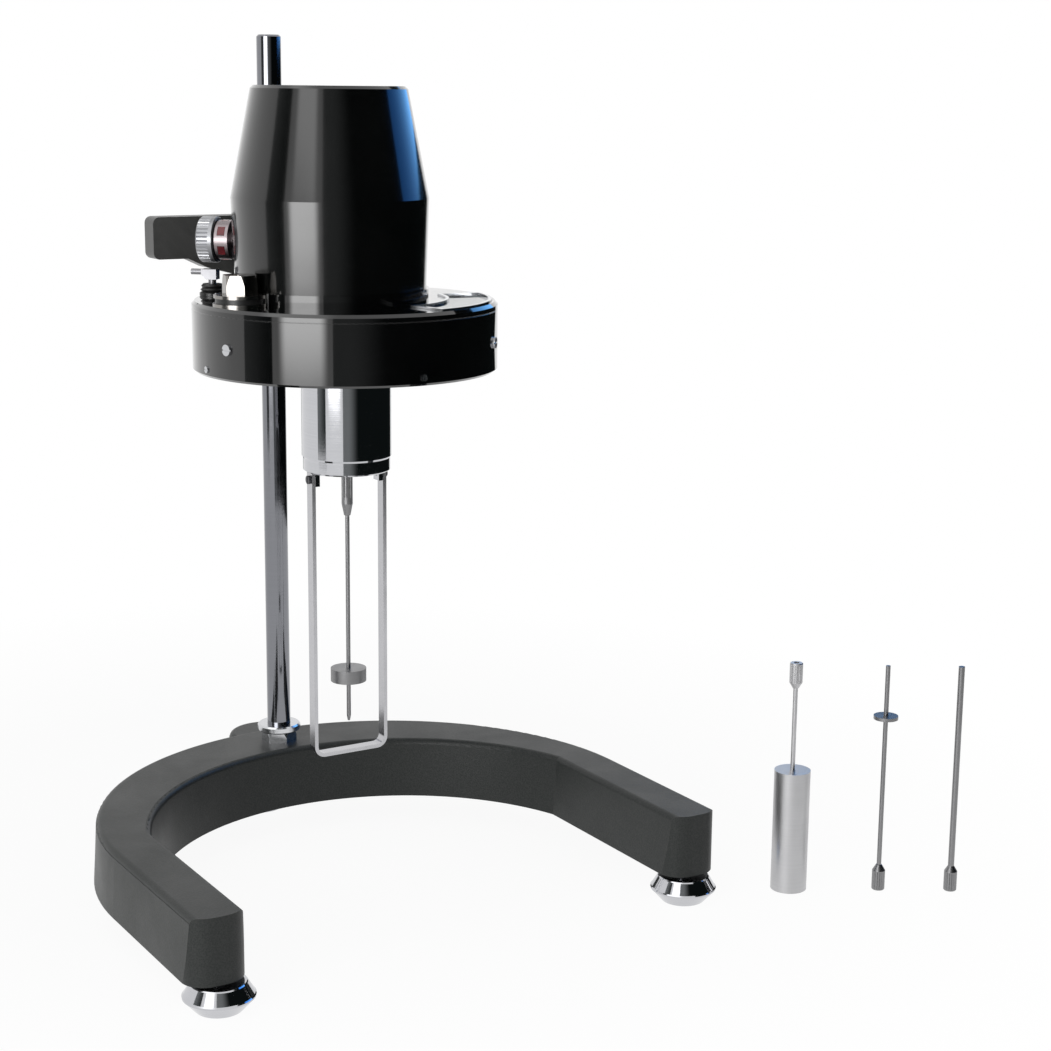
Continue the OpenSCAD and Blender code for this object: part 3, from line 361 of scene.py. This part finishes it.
pits.inputs["From Min"].default_value = 0.15
pits.inputs["From Max"].default_value = 0.65
crackle_links.new(cells.outputs["Distance"], pits.inputs["Value"])
crackle_links.new(pits.outputs["Result"], crackle_out.inputs["Pits"])

haze, haze_nodes, haze_links, haze_in, haze_out = shade_group(
    "handling_haze",
    [
        ("Vector", "NodeSocketVector", None),
        ("Scale", "NodeSocketFloat", 40.0),
        ("Low", "NodeSocketFloat", 0.1),
        ("High", "NodeSocketFloat", 0.2),
    ],
    [("Level", "NodeSocketFloat"), ("Mask", "NodeSocketFloat")],
)
smears = haze_nodes.new("ShaderNodeTexNoise")
smears.inputs["Detail"].default_value = 6.0
smears.inputs["Roughness"].default_value = 0.62
smears.inputs["Distortion"].default_value = 0.4
haze_links.new(haze_in.outputs["Vector"], smears.inputs["Vector"])
haze_links.new(haze_in.outputs["Scale"], smears.inputs["Scale"])
smear_mask = haze_nodes.new("ShaderNodeMapRange")
smear_mask.inputs["From Min"].default_value = 0.35
smear_mask.inputs["From Max"].default_value = 0.68
haze_links.new(smears.outputs["Fac"], smear_mask.inputs["Value"])
haze_links.new(smear_mask.outputs["Result"], haze_out.inputs["Mask"])
smear_level = haze_nodes.new("ShaderNodeMapRange")
haze_links.new(smear_mask.outputs["Result"], smear_level.inputs["Value"])
haze_links.new(haze_in.outputs["Low"], smear_level.inputs["To Min"])
haze_links.new(haze_in.outputs["High"], smear_level.inputs["To Max"])
haze_links.new(smear_level.outputs["Result"], haze_out.inputs["Level"])


def two_tone(tree_nodes, links, shader, mask, dark, light):
    """Base colour that goes from dark to light as the mask goes from 0 to 1."""
    blend = tree_nodes.new("ShaderNodeMix")
    blend.data_type = "RGBA"
    blend.inputs["A"].default_value = (*dark, 1.0)
    blend.inputs["B"].default_value = (*light, 1.0)
    links.new(mask, blend.inputs["Factor"])
    links.new(blend.outputs["Result"], shader.inputs["Base Color"])


enamel, enamel_nodes, enamel_links, enamel_shader = material_start("grey_green_crackle_enamel")
enamel_place = object_place(enamel_nodes)
enamel_skin = use_group(enamel_nodes, enamel_links, crackle, enamel_place, scale=1400.0)
enamel_smear = use_group(enamel_nodes, enamel_links, haze, enamel_place, scale=22.0, low=0.36, high=0.46)
enamel_dark = (0.017, 0.020, 0.019)
enamel_light = (0.030, 0.032, 0.031)
two_tone(enamel_nodes, enamel_links, enamel_shader, enamel_skin["Pits"], enamel_dark, enamel_light)
enamel_links.new(enamel_smear["Level"], enamel_shader.inputs["Roughness"])
enamel_shader.inputs["Specular IOR Level"].default_value = 0.25
bump(enamel_nodes, enamel_links, enamel_shader, enamel_skin["Height"], 0.00006, 0.6)
dress(enamel, "base_casting")


# Levelling feet --------------------------------------------------------------------------
# Turned steel discs with bevelled rims, chromed, each on a long screw that is driven up into
# the casting.
turned, turned_nodes, turned_links, turned_in, turned_out = shade_group(
    "turned_marks",
    [
        ("Vector", "NodeSocketVector", None),
        ("Lines", "NodeSocketFloat", 4000.0),
        ("Depth", "NodeSocketFloat", 1.0),
    ],
    [("Height", "NodeSocketFloat"), ("Shine", "NodeSocketFloat")],
)
axis_split = turned_nodes.new("ShaderNodeSeparateXYZ")
turned_links.new(turned_in.outputs["Vector"], axis_split.inputs["Vector"])
axis_flat = turned_nodes.new("ShaderNodeCombineXYZ")
turned_links.new(axis_split.outputs["X"], axis_flat.inputs["X"])
turned_links.new(axis_split.outputs["Y"], axis_flat.inputs["Y"])
axis_radius = turned_nodes.new("ShaderNodeVectorMath")
axis_radius.operation = "LENGTH"
turned_links.new(axis_flat.outputs["Vector"], axis_radius.inputs[0])
tool_track = turned_nodes.new("ShaderNodeCombineXYZ")
turned_links.new(axis_radius.outputs["Value"], tool_track.inputs["X"])
turned_links.new(axis_split.outputs["Z"], tool_track.inputs["Y"])
tool_lines = turned_nodes.new("ShaderNodeTexNoise")
tool_lines.inputs["Detail"].default_value = 2.0
turned_links.new(tool_track.outputs["Vector"], tool_lines.inputs["Vector"])
turned_links.new(turned_in.outputs["Lines"], tool_lines.inputs["Scale"])
line_height = math_node(
    turned_nodes, turned_links, "MULTIPLY", tool_lines.outputs["Fac"], turned_in.outputs["Depth"]
)
turned_links.new(line_height, turned_out.inputs["Height"])
turned_links.new(tool_lines.outputs["Fac"], turned_out.inputs["Shine"])


def centred_place(tree_nodes, links, centre):
    """Object coordinates moved to a piece's own upright axis."""
    mapping = tree_nodes.new("ShaderNodeMapping")
    mapping.inputs["Location"].default_value = -centre
    links.new(object_place(tree_nodes), mapping.inputs["Vector"])
    return mapping.outputs["Vector"]


def turned_metal(name, centre, colour, rough, lines=2500.0, relief=0.000004):
    """Metal turned about an axis, with faint tool marks and the haze of handling."""
    mat, tree_nodes, links, shader = material_start(name)
    place = centred_place(tree_nodes, links, centre)
    marks = use_group(tree_nodes, links, turned, place, lines=lines)
    smear = use_group(tree_nodes, links, haze, place, scale=60.0, low=rough[0], high=rough[1])
    shader.inputs["Metallic"].default_value = 1.0
    dark = tuple(channel * 0.86 for channel in colour)
    two_tone(tree_nodes, links, shader, marks["Shine"], dark, colour)
    links.new(smear["Level"], shader.inputs["Roughness"])
    bump(tree_nodes, links, shader, marks["Height"], relief)
    return mat


def centre_of(name):
    """Middle of a CAD node's box."""
    low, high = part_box(name)
    return (low + high) / 2


chrome_colour = (0.58, 0.585, 0.61)
for foot in ("foot_rear", "foot_left", "foot_right"):
    dress(turned_metal(foot + "_chrome", centre_of(foot), chrome_colour, (0.05, 0.12)), foot)


# Column ----------------------------------------------------------------------------------
# A ground and chromed steel rod, its chrome given a far darker colour than that of the feet and the
# shroud, as painted shade for the dark surroundings it mirrors. A hexagonal nut under a bright turned
# collar locks it to the base, and a nut and washer hold it from below.
# Painted shade: the rod's chrome colour is kept dark, so what it mirrors reads darker than the lamps and
# cards make it.
column_chrome_painted_shade = turned_metal(
    "column_chrome_painted_shade", centre_of("column"), (0.24, 0.245, 0.265), (0.05, 0.12), 3000.0, 0.000003
)
dress(column_chrome_painted_shade, "column")
nut_steel = turned_metal("bright_nut_steel", centre_of("column_nut"), (0.66, 0.67, 0.69), (0.16, 0.28))
dress(nut_steel, "column_nut", "column_collar", "column_under_nut")


# Carrier ---------------------------------------------------------------------------------
# Cast arm that clamps on the column and carries the head, sprayed satin black. The knob that
# closes the clamp is moulded black plastic, and two steel screws hold the head to the arm.
def worn_paint(name, scale, rough, dark, light, centre=None):
    """Paint, lacquer or plastic in two close tones, with its roughness between two limits."""
    mat, tree_nodes, links, shader = material_start(name)
    place = object_place(tree_nodes) if centre is None else centred_place(tree_nodes, links, centre)
    smear = use_group(tree_nodes, links, haze, place, scale=scale, low=rough[0], high=rough[1])
    two_tone(tree_nodes, links, shader, smear["Mask"], dark, light)
    links.new(smear["Level"], shader.inputs["Roughness"])
    return mat


def grained(mat, scale, relief, strength):
    """Gives a paint or a moulding its fine grain."""
    tree = mat.node_tree
    grain = use_group(tree.nodes, tree.links, crackle, object_place(tree.nodes), scale=scale)
    bump(tree.nodes, tree.links, tree.nodes["Principled BSDF"], grain["Height"], relief, strength)


satin_black = worn_paint(
    "satin_black_enamel", 35.0, (0.30, 0.42), dark=(0.040, 0.040, 0.039), light=(0.064, 0.064, 0.061)
)
grained(satin_black, scale=1500.0, relief=0.00005, strength=0.5)
dress(satin_black, "carrier")
screw_steel = turned_metal("screw_steel", centre_of("carrier_screws"), (0.6, 0.61, 0.63), (0.18, 0.3))
dress(screw_steel, "carrier_screws")
moulded_black = worn_paint(
    "moulded_black_plastic", 50.0, (0.28, 0.4), dark=(0.008, 0.008, 0.008), light=(0.014, 0.014, 0.014)
)
grained(moulded_black, scale=2400.0, relief=0.00003, strength=0.4)
dress(moulded_black, "clamp_knob")


# Housing ---------------------------------------------------------------------------------
# Pressed round pan and its flat cover, both in deep gloss black baked enamel. The enamel has a
# slight orange peel, and it sinks a little where the cover meets the pan.
gloss_black = worn_paint(
    "gloss_black_enamel",
    30.0,
    (0.06, 0.13),
    dark=(0.0010, 0.0011, 0.0012),
    light=(0.0022, 0.0023, 0.0024),
)
gloss_nodes = gloss_black.node_tree.nodes
gloss_links = gloss_black.node_tree.links
gloss_shader = gloss_nodes["Principled BSDF"]
gloss_place = object_place(gloss_nodes)
gloss_shader.inputs["Specular IOR Level"].default_value = 0.2
gloss_shader.inputs["Coat Weight"].default_value = 1.0
gloss_shader.inputs["Coat Roughness"].default_value = 0.04
peel_scale = 260.0
peel_relief = 0.00001
peel = gloss_nodes.new("ShaderNodeTexNoise")
peel.inputs["Scale"].default_value = peel_scale
peel.inputs["Detail"].default_value = 2.0
gloss_links.new(gloss_place, peel.inputs["Vector"])
joint_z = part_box("housing_pan")[1].z
joint_half = 0.00035
joint_depth = 0.0003
joint_split = gloss_nodes.new("ShaderNodeSeparateXYZ")
gloss_links.new(gloss_place, joint_split.inputs["Vector"])
joint_above = math_node(gloss_nodes, gloss_links, "SUBTRACT", joint_split.outputs["Z"], joint_z)
joint_away = math_node(gloss_nodes, gloss_links, "ABSOLUTE", joint_above)
joint_sink = gloss_nodes.new("ShaderNodeMapRange")
joint_sink.interpolation_type = "SMOOTHSTEP"
joint_sink.inputs["From Min"].default_value = 0.0
joint_sink.inputs["From Max"].default_value = joint_half
gloss_links.new(joint_away, joint_sink.inputs["Value"])
peel_normal = bump(gloss_nodes, gloss_links, gloss_shader, peel.outputs["Fac"], peel_relief, 0.6)
bump(gloss_nodes, gloss_links, gloss_shader, joint_sink.outputs["Result"], joint_depth, 1.0, peel_normal)
dress(gloss_black, "housing_pan", "top_cover")
dress(screw_steel, "pan_screws", "edge_screws")


# Dial window -----------------------------------------------------------------------------
# Clear acrylic let into the cover over the dial, held by a bright pressed frame. Wiping has
# left a faint haze on it.
pane_glass, pane_nodes, pane_links, pane_shader = material_start("window_acrylic")
pane_place = object_place(pane_nodes)
pane_smear = use_group(pane_nodes, pane_links, haze, pane_place, scale=45.0, low=0.02, high=0.07)
pane_shader.inputs["Base Color"].default_value = (0.86, 0.93, 0.97, 1.0)
pane_shader.inputs["Transmission Weight"].default_value = 1.0
pane_shader.inputs["IOR"].default_value = 1.49
pane_links.new(pane_smear["Level"], pane_shader.inputs["Roughness"])
dress(pane_glass, "window_pane")
frame_metal = turned_metal("frame_metal", centre_of("window_bezel"), (0.72, 0.73, 0.75), (0.12, 0.22))
dress(frame_metal, "window_bezel")


# Motor cover -----------------------------------------------------------------------------
# Spun sheet cover over the motor, in satin black with a clear coat. The faint rings of the
# spinning tool show through the paint.
spun_black = worn_paint(
    "spun_black_enamel",
    26.0,
    (0.14, 0.20),
    dark=(0.0012, 0.0014, 0.0014),
    light=(0.0028, 0.0030, 0.0030),
    centre=centre_of("motor_cover"),
)
spun_nodes = spun_black.node_tree.nodes
spun_links = spun_black.node_tree.links
spun_shader = spun_nodes["Principled BSDF"]
spun_place = centred_place(spun_nodes, spun_links, centre_of("motor_cover"))
spun_shader.inputs["Specular IOR Level"].default_value = 0.2
spun_shader.inputs["Coat Weight"].default_value = 1.0
spun_shader.inputs["Coat Roughness"].default_value = 0.11
spun_rings = use_group(spun_nodes, spun_links, turned, spun_place, lines=900.0)
bump(spun_nodes, spun_links, spun_shader, spun_rings["Height"], 0.000012, 0.5)
dress(spun_black, "motor_cover")


# Speed selector --------------------------------------------------------------------------
# Satin aluminium knob on a turned collar. The collar's six flats hold dark red enamel, and the
# knob's face has its speeds in plain numbers, cut in and filled black.
head_turn = math.radians(48.0)
head_place = Matrix.Translation(studio_centre) @ Matrix.Rotation(head_turn, 4, "Z")


def start_piece(name, add, **shape):
    """Adds a primitive or text at the origin and names it."""
    bpy.ops.object.select_all(action="DESELECT")
    add(location=(0.0, 0.0, 0.0), **shape)
    piece = bpy.context.object
    piece.name = name
    return piece


def scale_mesh(piece, size):
    """Scales a piece's mesh about the origin to its size."""
    piece.data.transform(Matrix.Diagonal((*size, 1.0)))


def ring_of(piece, count, step, place):
    """Repeats a piece about Z by a step, applies it, and moves the ring to its place."""
    bpy.ops.object.empty_add(location=(0.0, 0.0, 0.0), rotation=(0.0, 0.0, step))
    turner = bpy.context.object
    array = piece.modifiers.new("ring", "ARRAY")
    array.count = count
    array.use_relative_offset = False
    array.use_object_offset = True
    array.offset_object = turner
    bpy.ops.object.select_all(action="DESELECT")
    piece.select_set(True)
    bpy.context.view_layer.objects.active = piece
    bpy.ops.object.modifier_apply(modifier=array.name)
    bpy.data.objects.remove(turner)
    piece.data.transform(place)


def number(name, text, size, depth, place, mat, body):
    """Plain number as a thin mesh on a face: made about the origin, then placed."""
    piece = start_piece(name, bpy.ops.object.text_add)
    piece.data.body = text
    piece.data.size = size
    piece.data.align_x = "CENTER"
    piece.data.align_y = "CENTER"
    piece.data.extrude = depth / 2
    piece.data.resolution_u = 4
    bpy.ops.object.convert(target="MESH")
    piece = bpy.context.object
    piece.data.transform(place)
    piece.data.materials.append(mat)
    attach(piece, body)


knob_metal = turned_metal("knob_aluminium", centre_of("speed_knob"), (0.29, 0.294, 0.306), (0.30, 0.42))
dress(knob_metal, "speed_knob")
collar_metal = turned_metal(
    "collar_metal", centre_of("speed_collar"), (0.27, 0.235, 0.242), (0.26, 0.38)
)
dress(collar_metal, "speed_collar")
onto_head_y = Matrix.Rotation(math.radians(-90.0), 4, "X")
knob_height = Matrix.Translation((0.0, 0.0, centre_of("speed_knob").z))
knob_axis = head_place @ knob_height @ onto_head_y
red_enamel = worn_paint(
    "dark_red_enamel", 150.0, (0.12, 0.3), dark=(0.10, 0.008, 0.012), light=(0.16, 0.014, 0.018)
)
flat_count = 6
first_flat = Matrix.Rotation(math.radians(30.0), 4, "Z")
inlay_size = (0.0005, 0.0047, 0.0037)
inlay_radius = 0.0097
collar_middle = 0.0625
inlays = start_piece("collar_inlays", bpy.ops.mesh.primitive_cube_add, size=1.0)
scale_mesh(inlays, inlay_size)
inlays.data.transform(first_flat @ Matrix.Translation((inlay_radius, 0.0, collar_middle)))
ring_of(inlays, flat_count, math.tau / flat_count, knob_axis)
inlays.data.materials.append(red_enamel)
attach(inlays, "head")
black_fill = worn_paint(
    "black_filling", 120.0, (0.4, 0.6), dark=(0.008, 0.008, 0.008), light=(0.02, 0.02, 0.02)
)
speeds = ("6", "12", "30", "60")
speed_size = 0.0034
speed_depth = 0.00012
speed_radius = 0.0052
knob_face = 0.0746
for step, speed in enumerate(speeds):
    turn = Matrix.Rotation(math.tau * step / len(speeds), 4, "Z")
    on_face = knob_axis @ turn @ Matrix.Translation((0.0, speed_radius, knob_face))
    number("knob_number_" + speed, speed, speed_size, speed_depth, on_face, black_fill, "speed_knob")


# Stud, lock, switch and gland ------------------------------------------------------------
# Nickel-plated fittings of the cover: the stud with its nut, and the mains switch. The lock's
# bellows, the stud's seat and the lead's gland are black plastic, and the lock's lever is steel.
stud_metal = turned_metal("stud_nickel", centre_of("stud_set"), (0.30, 0.285, 0.27), (0.14, 0.24))
dress(stud_metal, "stud_set", "switch_toggle", "switch_body")
dress(moulded_black, "stud_plate", "lock_boot", "cable_gland")
lever_steel = turned_metal("lever_steel", centre_of("lock_lever"), (0.22, 0.22, 0.23), (0.3, 0.42))
dress(lever_steel, "lock_lever")


# Movement --------------------------------------------------------------------------------
# Steel motor, plate and shafts with brass gears. The dial is lacquered white, with a printed
# scale of 100 divisions over 300 degrees, and the red pointer rides over it.
plate_metal = turned_metal("plate_metal", centre_of("motor_plate"), (0.6, 0.6, 0.58), (0.25, 0.4))
dress(plate_metal, "motor_plate", "motor", "dial_bearing", "measuring_shaft", "hairspring")
brass = turned_metal("brass", centre_of("dial_drive"), (0.72, 0.52, 0.22), (0.18, 0.3))
dress(brass, "dial_drive", "motor_pinion", "shroud_bush")
dial_white = worn_paint(
    "dial_lacquer", 60.0, (0.3, 0.4), dark=(0.72, 0.74, 0.74), light=(0.78, 0.79, 0.79)
)
dress(dial_white, "dial")
dial_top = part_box("dial")[1].z
divisions = 100
division_angle = math.radians(3.0)
scale_edge = 0.0705
number_radius = 0.0608
number_size = 0.0058
ink_depth = 0.00008
ink_middle = dial_top + ink_depth / 2
# Each kind of mark: how many divisions apart, how long and how wide.
mark_kinds = {"fine": (1, 0.0024, 0.0003), "middle": (5, 0.004, 0.0004), "long": (10, 0.0058, 0.0006)}
for kind, (every, length, width) in mark_kinds.items():
    marks = start_piece("dial_marks_" + kind, bpy.ops.mesh.primitive_cube_add, size=1.0)
    scale_mesh(marks, (width, length, ink_depth))
    marks.data.transform(Matrix.Translation((0.0, length / 2 - scale_edge, ink_middle)))
    ring_of(marks, divisions // every + 1, division_angle * every, head_place)
    marks.data.materials.append(black_fill)
    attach(marks, "dial")
for value in range(0, divisions + 1, 10):
    turn = Matrix.Rotation(division_angle * value, 4, "Z")
    on_dial = head_place @ turn @ Matrix.Translation((0.0, -number_radius, ink_middle))
    number(f"dial_number_{value}", str(value), number_size, ink_depth, on_dial, black_fill, "dial")
pointer_red = worn_paint(
    "pointer_red", 90.0, (0.3, 0.4), dark=(0.42, 0.012, 0.01), light=(0.5, 0.02, 0.015)
)
dress(pointer_red, "pointer")


# Shroud and guard ------------------------------------------------------------------------
# Polished chrome tube under the housing, and a guard bent from satin steel strip. Two
# blackened screws hold the guard to the tube's foot.
shroud_chrome = turned_metal("shroud_chrome", centre_of("shroud"), chrome_colour, (0.04, 0.09))
dress(shroud_chrome, "shroud")
guard_steel = turned_metal("guard_steel", centre_of("guard"), (0.54, 0.54, 0.56), (0.18, 0.27), 1800.0)
dress(guard_steel, "guard")
dark_screw = worn_paint(
    "blackened_screw", 200.0, (0.25, 0.4), dark=(0.05, 0.05, 0.055), light=(0.09, 0.09, 0.1)
)
dark_screw.node_tree.nodes["Principled BSDF"].inputs["Metallic"].default_value = 1.0
dress(dark_screw, "guard_screws")


# Spindles --------------------------------------------------------------------------------
# Stainless steel spindles and the coupling that holds one of them, all turned and left satin.
# The first one, with the hollow cylinder, is finished brighter than the rest.
spindle_steel = (0.27, 0.27, 0.275)
cylinder_steel = (0.54, 0.54, 0.55)
for spindle in ("coupling", "spindle_2", "spindle_1", "spindle_3", "spindle_4"):
    colour = cylinder_steel if spindle == "spindle_1" else spindle_steel
    dress(turned_metal(spindle + "_steel", centre_of(spindle), colour, (0.32, 0.44), 2200.0), spindle)
